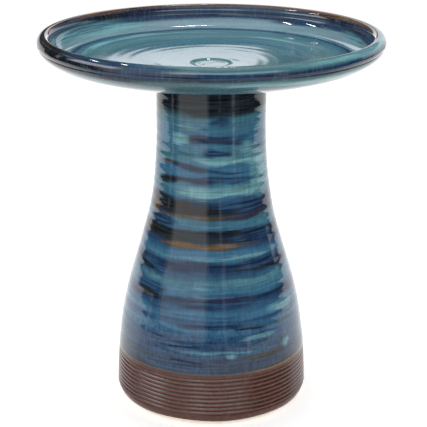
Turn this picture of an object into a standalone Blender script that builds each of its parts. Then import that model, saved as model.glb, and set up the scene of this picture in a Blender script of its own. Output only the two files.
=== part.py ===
"""Two-piece glazed stoneware bird bath: a hollow flared pedestal and a lift-off basin.

Metres, +Z up. The origin is at the centre of the pedestal's foot, on the surface it stands on.
Both pots are turned about the Z axis. The basin sits on three soft bumpers on the pedestal's lip,
and its collar drops into the pedestal's open mouth.
"""

import math

import bmesh
import bpy

# Driving dimensions.
TOTAL_HEIGHT = 0.520
RIM_OUTER_RADIUS = 0.2321
BASIN_DEPTH = 0.042
WALL = 0.0085
GAP = 0.0003

# Pedestal: foot, grooved base, flared body and neck.
FOOT_RING_INNER_RADIUS = 0.1065
FOOT_ROUND_RADIAL = 0.0174
FOOT_ROUND_HEIGHT = 0.020
SWELL_RADIUS = 0.1351
SWELL_LEAN = 0.0042
SWELL_HANDLE = 0.1925
NECK_RADIUS = 0.0752
NECK_HEIGHT = 0.3954
NECK_HANDLE = 0.1793
PEDESTAL_HEIGHT = 0.4572
LIP_INNER_RADIUS = 0.0635
LIP_ROUND = 0.0018
LIP_DEPTH = 0.020
INNER_WALL_START = 0.045
INNER_FOOT_HANDLE = (0.002, 0.014)
INNER_WALL_HANDLE_HEIGHT = 0.020

# Turned ridges around the base.
RIDGE_COUNT = 9
RIDGE_PITCH = 0.0059
RIDGE_FIRST_HEIGHT = 0.0210
RIDGE_DEPTH = 0.0013

# Basin: rolled rim, wall, floor, foot ring and collar.
RIM_HALF_WIDTH = 0.0089
RIM_HALF_HEIGHT = 0.0100
RIM_START_DEG = 195
RIM_END_DEG = -32.5
RIM_CREASE_RADIUS = 0.2296
RIM_CREASE_DROP = 0.0167
WALL_FOOT_HANDLE = (0.011, 0.0012)
WALL_TOP_HANDLE = (-0.003, -0.0095)
UNDER_TOP_HANDLE = (0.0014, -0.0092)
UNDER_BELLY = (0.197, 0.4648)
FLOOR_EDGE_RADIUS = 0.189
FLOOR_RISE = 0.010
DIMPLE_RADIUS = 0.0297
DIMPLE_SLOPE_WIDTH = 0.008
DIMPLE_DEPTH = 0.0022
FLOOR_THICKNESS = 0.0105
FOOT_RING_RADIUS = 0.080
COLLAR_RADIUS = 0.0605
COLLAR_WALL = 0.0105
COLLAR_DEPTH = 0.0145
EDGE_ROUND = 0.0015

# Bumpers between the two pots.
BUMPER_COUNT = 3
BUMPER_RADIUS = 0.004
BUMPER_HEIGHT = 0.0017
BUMPER_CIRCLE_RADIUS = 0.0695

TURNING_STEPS = 48
BUMPER_STEPS = 16
SHARP_ANGLE = math.radians(50)

RIM_CENTRE_RADIUS = RIM_OUTER_RADIUS - RIM_HALF_WIDTH
RIM_CENTRE_HEIGHT = TOTAL_HEIGHT - RIM_HALF_HEIGHT
FLOOR_HEIGHT = TOTAL_HEIGHT - BASIN_DEPTH
SEAT_HEIGHT = PEDESTAL_HEIGHT + GAP + BUMPER_HEIGHT + GAP


def clear_scene():
    """Remove every object of the open scene."""
    for item in list(bpy.data.objects):
        bpy.data.objects.remove(item, do_unlink=True)


def bezier_point(start, handle_a, handle_b, end, t):
    """One point of a cubic curve in the (radius, height) plane."""
    weights = ((1 - t) ** 3, 3 * (1 - t) ** 2 * t, 3 * (1 - t) * t ** 2, t ** 3)
    corners = (start, handle_a, handle_b, end)
    radius = sum(weight * corner[0] for weight, corner in zip(weights, corners))
    height = sum(weight * corner[1] for weight, corner in zip(weights, corners))
    return radius, height


def bezier(start, handle_a, handle_b, end, count):
    """Points along a cubic curve, both ends included."""
    return [bezier_point(start, handle_a, handle_b, end, i / (count - 1)) for i in range(count)]


def shifted(point, step):
    """A point moved by a step in the (radius, height) plane."""
    return point[0] + step[0], point[1] + step[1]


def ellipse_arc(centre, half_width, half_height, start_deg, end_deg, count):
    """Points along an arc in the (radius, height) plane, both ends included."""
    points = []
    for i in range(count):
        angle = math.radians(start_deg + (end_deg - start_deg) * i / (count - 1))
        points.append((centre[0] + half_width * math.cos(angle), centre[1] + half_height * math.sin(angle)))
    return points


def swell_radius(height):
    """Outer radius of the pedestal's flared body: an S-curve from the swell up to the straight neck."""
    if height >= NECK_HEIGHT:
        return NECK_RADIUS
    start = (SWELL_RADIUS, FOOT_ROUND_HEIGHT)
    handle_a = (SWELL_RADIUS - SWELL_LEAN, FOOT_ROUND_HEIGHT + SWELL_HANDLE)
    handle_b = (NECK_RADIUS, NECK_HEIGHT - NECK_HANDLE)
    end = (NECK_RADIUS, NECK_HEIGHT)
    low, high = 0.0, 1.0
    for _ in range(40):
        middle = (low + high) / 2
        if bezier_point(start, handle_a, handle_b, end, middle)[1] < height:
            low = middle
        else:
            high = middle
    return bezier_point(start, handle_a, handle_b, end, low)[0]


def ridge_points():
    """The grooved base, from the top valley down to the bottom valley."""
    points = []
    for step in range(2 * RIDGE_COUNT + 1):
        height = RIDGE_FIRST_HEIGHT + (RIDGE_COUNT - 0.5 - step / 2) * RIDGE_PITCH
        radius = swell_radius(max(height, FOOT_ROUND_HEIGHT))
        if step % 2 == 0:
            radius -= RIDGE_DEPTH
        points.append((radius, height))
    return points


def pedestal_profile():
    """Closed outline of the pedestal's wall: down the outside, across the foot and up the inside."""
    ridge_top = RIDGE_FIRST_HEIGHT + (RIDGE_COUNT - 0.5) * RIDGE_PITCH
    body_start = ridge_top + RIDGE_PITCH / 2
    lip_top = PEDESTAL_HEIGHT
    body_steps = 15

    outline = ellipse_arc((NECK_RADIUS - LIP_ROUND, lip_top - LIP_ROUND), LIP_ROUND, LIP_ROUND, 90, 0, 3)
    for i in range(body_steps + 1):
        height = NECK_HEIGHT + (body_start - NECK_HEIGHT) * i / body_steps
        outline.append((swell_radius(height), height))
    outline += ridge_points()
    foot_centre = (SWELL_RADIUS - FOOT_ROUND_RADIAL, FOOT_ROUND_HEIGHT)
    outline += ellipse_arc(foot_centre, FOOT_ROUND_RADIAL, FOOT_ROUND_HEIGHT, -14, -90, 6)

    inner_bottom = (FOOT_RING_INNER_RADIUS, 0.0)
    inner_start = (swell_radius(INNER_WALL_START) - WALL, INNER_WALL_START)
    outline += bezier(inner_bottom, shifted(inner_bottom, INNER_FOOT_HANDLE),
                      (inner_start[0], INNER_WALL_HANDLE_HEIGHT), inner_start, 5)
    inner_top = lip_top - LIP_DEPTH
    inner_steps = 11
    for i in range(1, inner_steps + 1):
        height = INNER_WALL_START + (inner_top - INNER_WALL_START) * i / inner_steps
        outline.append((swell_radius(height) - WALL, height))
    lip_centre = (LIP_INNER_RADIUS + LIP_ROUND, lip_top - LIP_ROUND)
    outline += ellipse_arc(lip_centre, LIP_ROUND, LIP_ROUND, 180, 90, 3)
    return outline


def floor_height(radius):
    """Height of the basin's dished floor, without its centre dimple."""
    return FLOOR_HEIGHT + FLOOR_RISE * (radius / FLOOR_EDGE_RADIUS) ** 2


def basin_profile():
    """Outline of the basin, from the centre of its floor over the rim to the centre of its underside."""
    dimple_edge = DIMPLE_RADIUS - DIMPLE_SLOPE_WIDTH
    outline = [(0.0, FLOOR_HEIGHT - DIMPLE_DEPTH), (dimple_edge, FLOOR_HEIGHT - DIMPLE_DEPTH)]
    floor_steps = 5
    for i in range(floor_steps + 1):
        radius = DIMPLE_RADIUS + (FLOOR_EDGE_RADIUS - DIMPLE_RADIUS) * i / floor_steps
        outline.append((radius, floor_height(radius)))

    rim_centre = (RIM_CENTRE_RADIUS, RIM_CENTRE_HEIGHT)
    rim = ellipse_arc(rim_centre, RIM_HALF_WIDTH, RIM_HALF_HEIGHT, RIM_START_DEG, RIM_END_DEG, 14)
    wall_foot = outline[-1]
    outline += bezier(wall_foot, shifted(wall_foot, WALL_FOOT_HANDLE),
                      shifted(rim[0], WALL_TOP_HANDLE), rim[0], 7)[1:]
    outline += rim[1:]

    crease = (RIM_CREASE_RADIUS, TOTAL_HEIGHT - RIM_CREASE_DROP)
    under_edge = (FOOT_RING_RADIUS + 2 * EDGE_ROUND, floor_height(FOOT_RING_RADIUS) - FLOOR_THICKNESS)
    outline += bezier(crease, shifted(crease, UNDER_TOP_HANDLE), UNDER_BELLY, under_edge, 12)

    outline += ellipse_arc((FOOT_RING_RADIUS - EDGE_ROUND, SEAT_HEIGHT + EDGE_ROUND),
                           EDGE_ROUND, EDGE_ROUND, 0, -90, 3)
    outline.append((COLLAR_RADIUS, SEAT_HEIGHT))
    collar_bottom = SEAT_HEIGHT - COLLAR_DEPTH
    outline += ellipse_arc((COLLAR_RADIUS - EDGE_ROUND, collar_bottom + EDGE_ROUND),
                           EDGE_ROUND, EDGE_ROUND, 0, -90, 3)
    collar_inner = COLLAR_RADIUS - COLLAR_WALL
    under_centre = FLOOR_HEIGHT - FLOOR_THICKNESS
    outline.append((collar_inner, collar_bottom))
    outline.append((collar_inner, under_centre - 2 * EDGE_ROUND))
    outline.append((collar_inner - 2 * EDGE_ROUND, under_centre))
    outline.append((0.0, under_centre))
    return outline


def bumper_profile():
    """Outline of one bumper: a low disc with a rounded top edge."""
    top_round = BUMPER_HEIGHT / 2
    outline = [(0.0, BUMPER_HEIGHT)]
    outline += ellipse_arc((BUMPER_RADIUS - top_round, BUMPER_HEIGHT - top_round),
                           top_round, top_round, 90, 0, 4)
    outline += [(BUMPER_RADIUS, 0.0), (0.0, 0.0)]
    return outline


def material(name, colour, roughness):
    """A Principled material in one colour."""
    surface = bpy.data.materials.new(name)
    surface.use_nodes = True
    shader = surface.node_tree.nodes["Principled BSDF"]
    shader.inputs["Base Color"].default_value = (*colour, 1.0)
    shader.inputs["Roughness"].default_value = roughness
    shader.inputs["Metallic"].default_value = 0.0
    surface.diffuse_color = (*colour, 1.0)
    return surface


def turned(name, profile, closed, steps, surface, collection):
    """A solid turned about Z from a profile that runs down its outer side."""
    mesh = bpy.data.meshes.new(name)
    shape = bmesh.new()
    vertices = [shape.verts.new((radius, 0.0, height)) for radius, height in profile]
    for first, second in zip(vertices, vertices[1:]):
        shape.edges.new((first, second))
    if closed:
        shape.edges.new((vertices[-1], vertices[0]))
    shape.to_mesh(mesh)
    shape.free()

    solid = bpy.data.objects.new(name, mesh)
    collection.objects.link(solid)
    screw = solid.modifiers.new("turn", "SCREW")
    screw.axis = "Z"
    screw.steps = steps
    screw.render_steps = steps
    screw.use_merge_vertices = True
    screw.merge_threshold = 1e-6
    screw.use_smooth_shade = True
    mesh.materials.append(surface)
    return solid


def apply_turning(solid):
    """Make the turned surface a mesh and keep its real edges sharp."""
    graph = bpy.context.evaluated_depsgraph_get()
    mesh = bpy.data.meshes.new_from_object(solid.evaluated_get(graph))
    solid.modifiers.clear()
    solid.data = mesh
    mesh.shade_smooth()
    mesh.set_sharp_from_angle(angle=SHARP_ANGLE)


def build_pedestal(collection):
    """The hollow pedestal, open at its foot and at its mouth."""
    glaze = material("glazed_stoneware", (0.09, 0.20, 0.27), 0.12)
    return turned("pedestal", pedestal_profile(), True, TURNING_STEPS, glaze, collection)


def build_basin(collection):
    """The lift-off basin. Its origin is on the axis that it lifts along, at its seat."""
    glaze = material("basin_glaze", (0.11, 0.25, 0.30), 0.10)
    profile = [(radius, height - SEAT_HEIGHT) for radius, height in basin_profile()]
    basin = turned("basin", profile, False, TURNING_STEPS, glaze, collection)
    basin.location = (0.0, 0.0, SEAT_HEIGHT)
    return basin


def build_bumpers(collection):
    """Three soft discs in a ring on the pedestal's lip."""
    rubber = material("silicone", (0.62, 0.63, 0.61), 0.45)
    bumpers = []
    for i in range(BUMPER_COUNT):
        angle = math.radians(90) + 2 * math.pi * i / BUMPER_COUNT
        name = f"seat_bumper_{i + 1}"
        bumper = turned(name, bumper_profile(), False, BUMPER_STEPS, rubber, collection)
        bumper.location = (
            BUMPER_CIRCLE_RADIUS * math.cos(angle),
            BUMPER_CIRCLE_RADIUS * math.sin(angle),
            PEDESTAL_HEIGHT + GAP,
        )
        bumpers.append(bumper)
    return bumpers


def main():
    clear_scene()
    collection = bpy.data.collections.new("bird_bath")
    bpy.context.scene.collection.children.link(collection)
    solids = [build_pedestal(collection), build_basin(collection)]
    solids += build_bumpers(collection)
    bpy.context.view_layer.update()
    for solid in solids:
        apply_turning(solid)


main()
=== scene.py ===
import math
import random

import bpy
import numpy as np
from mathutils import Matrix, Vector


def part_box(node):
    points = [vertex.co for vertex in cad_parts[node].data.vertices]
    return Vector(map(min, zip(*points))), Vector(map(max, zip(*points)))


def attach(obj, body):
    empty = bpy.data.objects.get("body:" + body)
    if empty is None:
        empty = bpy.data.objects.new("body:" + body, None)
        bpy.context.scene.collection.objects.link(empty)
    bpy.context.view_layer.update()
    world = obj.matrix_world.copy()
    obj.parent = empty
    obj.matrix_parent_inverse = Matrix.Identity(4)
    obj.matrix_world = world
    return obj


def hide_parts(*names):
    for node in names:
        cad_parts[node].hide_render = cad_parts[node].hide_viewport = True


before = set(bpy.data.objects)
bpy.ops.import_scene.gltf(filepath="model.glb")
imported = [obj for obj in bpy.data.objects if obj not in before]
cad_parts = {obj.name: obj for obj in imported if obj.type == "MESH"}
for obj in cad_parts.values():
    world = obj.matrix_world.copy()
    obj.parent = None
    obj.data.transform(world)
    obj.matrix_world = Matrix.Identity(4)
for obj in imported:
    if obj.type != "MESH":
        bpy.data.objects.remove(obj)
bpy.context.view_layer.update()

# ---- Sizes, in metres: heights and radii come from the frame, the rest are design values
PEDESTAL_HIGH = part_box("pedestal")[1]
BASIN_LOW, BASIN_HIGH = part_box("basin")
TOTAL_HEIGHT = BASIN_HIGH[2]
RIM_OUTER_RADIUS = BASIN_HIGH[0]
PEDESTAL_HEIGHT = PEDESTAL_HIGH[2]
SWELL_RADIUS = PEDESTAL_HIGH[0]
COLLAR_BOTTOM = BASIN_LOW[2]
BUMPER_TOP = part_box("seat_bumper_1")[1][2]
SEAT_GAP = 0.0003
SEAT_HEIGHT = BUMPER_TOP + SEAT_GAP

# The pedestal: a rounded foot, a wall drawn in by one curve to the neck, and a rounded lip.
WALL = 0.0085
FOOT_RING_INNER_RADIUS = 0.1065
FOOT_ROUND_RADIAL = 0.0174
FOOT_ROUND_HEIGHT = 0.020
FOOT_ARC_DEG = (-10, -90)
SWELL_LEAN = 0.0042
SWELL_HANDLE = 0.1925
NECK_RADIUS = 0.0752
NECK_HEIGHT = 0.3954
NECK_HANDLE = 0.1793
LIP_INNER_RADIUS = 0.0635
LIP_ROUND = 0.0018
LIP_DEPTH = 0.020
INNER_WALL_START = 0.045
INNER_FOOT_HANDLE = (0.002, 0.014)
INNER_WALL_HANDLE_HEIGHT = 0.020

# Turned ridges at the base, and the lines where the glaze and the brown wash end.
RIDGE_COUNT = 9
RIDGE_PITCH = 0.0059
RIDGE_FIRST_HEIGHT = 0.0210
RIDGE_DEPTH = 0.0015
RIDGE_BOTTOM = RIDGE_FIRST_HEIGHT - RIDGE_PITCH / 2
RIDGE_TOP = RIDGE_FIRST_HEIGHT + (RIDGE_COUNT - 0.5) * RIDGE_PITCH
# How the painted highlight narrows to the ridges' crowns, and its level away from the ridges.
CREST_SHARPNESS = 1.5
CREST_ELSEWHERE = 0.55
GLAZE_LINE = 0.0755
GLAZE_THICKNESS = 0.0005
GLAZE_STEP_HEIGHT = 0.0016
CLAY_LINE = 0.0076
CLAY_TILT = 0.0011
CLAY_HIGH_BEARING = -60

# The basin: a dished floor with a centre dimple, a wall, a rolled rim and an underside with a collar.
RIM_HALF_WIDTH = 0.0089
RIM_HALF_HEIGHT = 0.0100
RIM_START_DEG = 195
RIM_END_DEG = -32.5
RIM_CREASE_RADIUS = 0.2296
RIM_CREASE_DROP = 0.0167
CREASE_TOP_HANDLE = (-0.0003, -0.0004)
CREASE_FOOT_HANDLE = (-0.0002, 0.0004)
WALL_FOOT_HANDLE = (0.011, 0.0012)
WALL_TOP_HANDLE = (-0.003, -0.0095)
UNDER_TOP_HANDLE = (0.0014, -0.0092)
UNDER_BELLY = (0.197, 0.4648)
BASIN_DEPTH = 0.042
FLOOR_HEIGHT = TOTAL_HEIGHT - BASIN_DEPTH
FLOOR_EDGE_RADIUS = 0.189
FLOOR_RISE = 0.010
FLOOR_THICKNESS = 0.0105
DIMPLE_RADIUS = 0.0297
DIMPLE_SLOPE_WIDTH = 0.008
DIMPLE_DEPTH = 0.0022
FOOT_RING_RADIUS = 0.080
COLLAR_RADIUS = 0.0605
COLLAR_WALL = 0.0105
EDGE_ROUND = 0.0015
GLAZED_ABOVE_SEAT = 0.004
UNDERSIDE_START = 0.02
WELL_ABOVE = 0.01

# Points around each piece, and rows of points along each stretch of its outline.
PEDESTAL_STEPS = 288
PEDESTAL_ROWS = {
    "lip": 6, "body": 168, "glaze_edge": 16, "foot": 14, "ring": 6,
    "inner_foot": 10, "inner_wall": 28, "inner_lip": 5,
}
ROWS_PER_RIDGE = 9
BASIN_STEPS = 300
BASIN_ROWS = {
    "dimple": 34, "floor": 92, "wall": 26, "rim": 50, "neck": 6, "under": 66, "ring": 5, "seat": 5,
    "collar": 5, "collar_round": 4, "recess_wall": 5, "recess": 8,
}
FINE_ZONE = 0.004

# Unevenness of hand turning: seed, waves, most cycles around, wavelengths along, height in all.
GLAZE_LINE_WAVES = (11, 8, 5, (0.5, 1.0), 0.0009)
CLAY_LINE_WAVES = (12, 8, 9, (0.5, 1.0), 0.0006)
PEDESTAL_WAVES = (
    (21, 14, 1, (0.009, 0.020), 0.00007),
    (22, 12, 4, (0.05, 0.16), 0.00030),
    (23, 40, 12, (0.008, 0.016), 0.00005),
)
PEDESTAL_FADE_IN = 0.03
PEDESTAL_FADE_OUT = 0.02
BASIN_RINGS = (41, 12, 1, (0.014, 0.030), 0.00006)
BASIN_WAVES = (42, 10, 4, (0.06, 0.18), 0.00012)
BASIN_CENTRE_FADE = 0.02
BASIN_FLOOR_FADE = 0.01
BASIN_FLOOR_CALM = 0.65
UNDERSIDE_MARGIN = 0.01


# ---- Outlines in the (radius, height) plane
def bezier(start, handle_a, handle_b, end, count):
    """Points along a cubic curve, both ends included."""
    t = np.linspace(0, 1, count)[:, None]
    corners = [np.array(corner, dtype=float) for corner in (start, handle_a, handle_b, end)]
    return ((1 - t) ** 3 * corners[0] + 3 * (1 - t) ** 2 * t * corners[1]
            + 3 * (1 - t) * t ** 2 * corners[2] + t ** 3 * corners[3])


def ellipse_arc(centre, half_width, half_height, start_deg, end_deg, count):
    """Points along an arc, both ends included."""
    angle = np.radians(np.linspace(start_deg, end_deg, count))
    return np.stack([centre[0] + half_width * np.cos(angle), centre[1] + half_height * np.sin(angle)], 1)


def straight(start, end, count):
    """Points along a straight run, both ends included."""
    t = np.linspace(0, 1, count)[:, None]
    return np.array(start) * (1 - t) + np.array(end) * t


def smooth_step(value, low, high):
    t = np.clip((value - low) / (high - low), 0, 1)
    return t * t * (3 - 2 * t)


SWELL_CURVE = bezier(
    (SWELL_RADIUS, FOOT_ROUND_HEIGHT), (SWELL_RADIUS - SWELL_LEAN, FOOT_ROUND_HEIGHT + SWELL_HANDLE),
    (NECK_RADIUS, NECK_HEIGHT - NECK_HANDLE), (NECK_RADIUS, NECK_HEIGHT), 2000)


def swell_radius(height):
    """Outer radius of the pedestal's flared body at each height."""
    return np.interp(height, SWELL_CURVE[:, 1], SWELL_CURVE[:, 0])


def ridges(height):
    """1 on a ridge's crown and 0 in a groove, and whether each height is among the ridges."""
    phase = (height - RIDGE_FIRST_HEIGHT) / RIDGE_PITCH
    among = (height > RIDGE_BOTTOM) & (height < RIDGE_TOP)
    return np.abs(np.cos(math.pi * phase)), among


def ridge_offset(height):
    """How far the turned grooves cut in: round ridges with narrow valleys between them."""
    crown, among = ridges(height)
    return np.where(among, -RIDGE_DEPTH * (1 - crown), 0.0)


def floor_height(radius):
    """Height of the basin's dished floor, without its centre dimple."""
    return FLOOR_HEIGHT + FLOOR_RISE * (radius / FLOOR_EDGE_RADIUS) ** 2


def pedestal_body():
    """The outside from the lip to the lowest groove, with closer rows at the glaze's edge and ridges."""
    edge_top = GLAZE_LINE + FINE_ZONE
    body = np.linspace(PEDESTAL_HEIGHT - LIP_ROUND, edge_top, PEDESTAL_ROWS["body"])[1:]
    glaze_edge = np.linspace(edge_top, RIDGE_TOP, PEDESTAL_ROWS["glaze_edge"])[1:]
    base = np.linspace(RIDGE_TOP, RIDGE_BOTTOM, RIDGE_COUNT * ROWS_PER_RIDGE + 1)[1:]
    heights = np.concatenate([body, glaze_edge, base])
    radii = swell_radius(np.maximum(heights, FOOT_ROUND_HEIGHT)) + ridge_offset(heights)
    return np.stack([radii, heights], 1)


def pedestal_outline():
    """Closed outline: down the outside, across the foot, up the inside; and where the inside begins."""
    rows = PEDESTAL_ROWS
    lip_height = PEDESTAL_HEIGHT - LIP_ROUND
    lip = ellipse_arc((NECK_RADIUS - LIP_ROUND, lip_height), LIP_ROUND, LIP_ROUND, 90, 0, rows["lip"])
    foot_centre = (SWELL_RADIUS - FOOT_ROUND_RADIAL, FOOT_ROUND_HEIGHT)
    foot = ellipse_arc(foot_centre, FOOT_ROUND_RADIAL, FOOT_ROUND_HEIGHT, *FOOT_ARC_DEG, rows["foot"])
    outside = np.concatenate([lip, pedestal_body(), foot])

    ring_inner = (FOOT_RING_INNER_RADIUS, 0.0)
    ring = straight(foot[-1], ring_inner, rows["ring"])[1:]
    wall_foot = (float(swell_radius(INNER_WALL_START)) - WALL, INNER_WALL_START)
    foot_handle = (FOOT_RING_INNER_RADIUS + INNER_FOOT_HANDLE[0], INNER_FOOT_HANDLE[1])
    wall_handle = (wall_foot[0], INNER_WALL_HANDLE_HEIGHT)
    inner_foot = bezier(ring_inner, foot_handle, wall_handle, wall_foot, rows["inner_foot"])[1:]
    inner_heights = np.linspace(INNER_WALL_START, PEDESTAL_HEIGHT - LIP_DEPTH, rows["inner_wall"])[1:]
    inner_wall = np.stack([swell_radius(inner_heights) - WALL, inner_heights], 1)
    inner_lip_centre = (LIP_INNER_RADIUS + LIP_ROUND, lip_height)
    inner_lip = ellipse_arc(inner_lip_centre, LIP_ROUND, LIP_ROUND, 180, 90, rows["inner_lip"])
    return np.concatenate([outside, ring, inner_foot, inner_wall, inner_lip]), len(outside)


def basin_floor():
    """From the centre to the foot of the wall, with closer rows over the dimple."""
    fine_edge = DIMPLE_RADIUS + FINE_ZONE
    radii = np.concatenate([np.linspace(0.0, fine_edge, BASIN_ROWS["dimple"]),
                            np.linspace(fine_edge, FLOOR_EDGE_RADIUS, BASIN_ROWS["floor"])[1:]])
    dimple = 1 - smooth_step(radii, DIMPLE_RADIUS - DIMPLE_SLOPE_WIDTH, DIMPLE_RADIUS)
    return np.stack([radii, floor_height(radii) - DIMPLE_DEPTH * dimple], 1)


def basin_underside(crease):
    """From the crease below the rim to the foot ring, the seat, the collar and the recess inside it."""
    rows = BASIN_ROWS
    fillet = 2 * EDGE_ROUND
    ring_top = np.array((FOOT_RING_RADIUS + fillet, floor_height(FOOT_RING_RADIUS) - FLOOR_THICKNESS))
    ring_centre = (FOOT_RING_RADIUS - EDGE_ROUND, SEAT_HEIGHT + EDGE_ROUND)
    ring = ellipse_arc(ring_centre, EDGE_ROUND, EDGE_ROUND, 0, -90, rows["ring"])
    seat_corner = (COLLAR_RADIUS, SEAT_HEIGHT)
    round_centre = (COLLAR_RADIUS - EDGE_ROUND, COLLAR_BOTTOM + EDGE_ROUND)
    collar_inner = COLLAR_RADIUS - COLLAR_WALL
    recess_height = FLOOR_HEIGHT - FLOOR_THICKNESS
    wall_foot = (collar_inner, COLLAR_BOTTOM)
    recess_wall = straight(wall_foot, (collar_inner, recess_height - fillet), rows["recess_wall"])
    recess = straight((collar_inner - fillet, recess_height), (0.0, recess_height), rows["recess"])
    return {
        "under": bezier(crease, crease + UNDER_TOP_HANDLE, UNDER_BELLY, ring_top, rows["under"]),
        "ring": ring,
        "seat": straight(ring[-1], seat_corner, rows["seat"])[1:],
        "collar": straight(seat_corner, (COLLAR_RADIUS, round_centre[1]), rows["collar"])[1:-1],
        "collar_round": ellipse_arc(round_centre, EDGE_ROUND, EDGE_ROUND, 0, -90, rows["collar_round"]),
        "recess_wall": recess_wall,
        "recess": recess,
    }


def basin_outline():
    """Outline from the floor's centre over the rim to the underside's centre, and where stretches end."""
    rows = BASIN_ROWS
    floor = basin_floor()
    rim_centre = (RIM_OUTER_RADIUS - RIM_HALF_WIDTH, TOTAL_HEIGHT - RIM_HALF_HEIGHT)
    rim = ellipse_arc(rim_centre, RIM_HALF_WIDTH, RIM_HALF_HEIGHT, RIM_START_DEG, RIM_END_DEG, rows["rim"])
    wall = bezier(floor[-1], floor[-1] + WALL_FOOT_HANDLE, rim[0] + WALL_TOP_HANDLE, rim[0], rows["wall"])
    crease = np.array((RIM_CREASE_RADIUS, TOTAL_HEIGHT - RIM_CREASE_DROP))
    neck = bezier(rim[-1], rim[-1] + CREASE_TOP_HANDLE, crease + CREASE_FOOT_HANDLE, crease, rows["neck"])
    stretches = {"floor": floor, "wall": wall[1:], "rim": rim[1:], "neck": neck[1:-1]}
    stretches.update(basin_underside(crease))
    ends = dict(zip(stretches, np.cumsum([len(points) for points in stretches.values()])))
    return np.concatenate(list(stretches.values())), ends


def arc_lengths(outline):
    """Distance along the outline from its first point."""
    return np.concatenate([[0.0], np.cumsum(np.hypot(*np.diff(outline, axis=0).T))])


def outward_normals(outline, closed):
    """Unit normals in the (radius, height) plane, pointing out of the solid."""
    before = np.roll(outline, 1, 0)
    after = np.roll(outline, -1, 0)
    if not closed:
        before[0] = outline[0]
        after[-1] = outline[-1]
    run = after - before
    run /= np.maximum(np.hypot(*run.T), 1e-9)[:, None]
    return np.stack([-run[:, 1], run[:, 0]], 1)


# ---- The unevenness of hand turning: seeded waves that close up around the axis
def turning_waves(seed, count, around, along, size):
    """Waves with up to `around` cycles about the axis and wavelengths in `along`, `size` high in all."""
    draw = random.Random(seed)
    waves = []
    for _ in range(count):
        cycles = draw.randint(0, around)
        length = draw.uniform(*along)
        waves.append((cycles, 2 * math.pi / length, draw.uniform(0, 2 * math.pi), draw.gauss(0, 1)))
    scale = size / math.sqrt(sum(wave[3] ** 2 for wave in waves))
    return [(cycles, rate, phase, scale * height) for cycles, rate, phase, height in waves]


def relief(waves, angle, arc):
    """Height of the waves on a grid of (arc, angle)."""
    total = np.zeros((len(arc), len(angle)))
    for cycles, rate, phase, height in turning_waves(*waves):
        total += height * np.cos(cycles * angle[None, :] + rate * arc[:, None] + phase)
    return total


# ---- Lathe meshes
def add_object(name, data):
    """An object for the data, linked into the scene."""
    made = bpy.data.objects.new(name, data)
    bpy.context.scene.collection.objects.link(made)
    return made


def angles_around(steps):
    return np.arange(steps) * 2 * math.pi / steps


def spread(values, steps):
    """The values repeated at every step around the axis."""
    return values[:, None] * np.ones(steps)[None, :]


def lathe_vertices(points, on_axis):
    """Vertices row by row, one for a row on the axis; the vertex at each place; each vertex's place."""
    rows, steps = points.shape[:2]
    vertices = []
    places = []
    index = np.zeros((rows, steps), dtype=int)
    for row in range(rows):
        if on_axis[row]:
            index[row] = len(vertices)
            vertices.append((0.0, 0.0, float(points[row, :, 2].mean())))
            places.append((row, 0))
        else:
            index[row] = np.arange(steps) + len(vertices)
            vertices.extend(points[row].tolist())
            places.extend((row, step) for step in range(steps))
    return vertices, index, np.array(places)


def lathe_faces(index, on_axis, closed):
    """Four-sided faces between neighbouring rows, or triangles where one row is on the axis."""
    rows, steps = index.shape
    row_pairs = [(row, row + 1) for row in range(rows - 1)]
    if closed:
        row_pairs.append((rows - 1, 0))
    faces = []
    for upper, lower in row_pairs:
        for step in range(steps):
            right = (step + 1) % steps
            face = [index[upper, step], index[lower, step], index[lower, right], index[upper, right]]
            if on_axis[upper]:
                face = face[:3]
            elif on_axis[lower]:
                face = [face[0], face[1], face[3]]
            faces.append([int(corner) for corner in face])
    return faces


def add_field(mesh, name, grid, places):
    """Keep a grid of numbers or vectors as a point attribute."""
    values = grid[places[:, 0], places[:, 1]].astype(np.float32).ravel()
    kind, key = ("FLOAT_VECTOR", "vector") if grid.ndim == 3 else ("FLOAT", "value")
    mesh.attributes.new(name, kind, "POINT").data.foreach_set(key, values)


def turned_mesh(name, outline, steps, closed, offset, fields):
    """A lathe mesh. `offset` moves points along their normals; `fields` become attributes for the glaze."""
    angle = angles_around(steps)
    normals = outward_normals(outline, closed)
    radius = outline[:, 0][:, None] + normals[:, 0][:, None] * offset
    height = outline[:, 1][:, None] + normals[:, 1][:, None] * offset
    points = np.stack([radius * np.cos(angle), radius * np.sin(angle), height], 2)
    on_axis = outline[:, 0] < 1e-7
    vertices, index, places = lathe_vertices(points, on_axis)
    mesh = bpy.data.meshes.new(name)
    mesh.from_pydata(vertices, [], lathe_faces(index, on_axis, closed))
    for field_name, grid in fields.items():
        add_field(mesh, field_name, grid, places)
    mesh.shade_smooth()
    mesh.update()
    return add_object(name, mesh)


def turning_field(outline, along, steps):
    """Undisturbed (x, y, along) for every point: the coordinates that all glaze patterns use."""
    angle = angles_around(steps)
    radius = outline[:, 0][:, None]
    return np.stack([radius * np.cos(angle), radius * np.sin(angle), spread(along, steps)], 2)


# ---- Colours, bands and strokes of the glaze; bearing 0 is the front (-Y) and grows towards +X
def linear(red, green, blue):
    """An sRGB colour, 0 to 255, as linear RGBA."""
    channels = []
    for value in (red, green, blue):
        value /= 255
        channels.append(value / 12.92 if value <= 0.04045 else ((value + 0.055) / 1.055) ** 2.4)
    return (*channels, 1.0)


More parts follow.
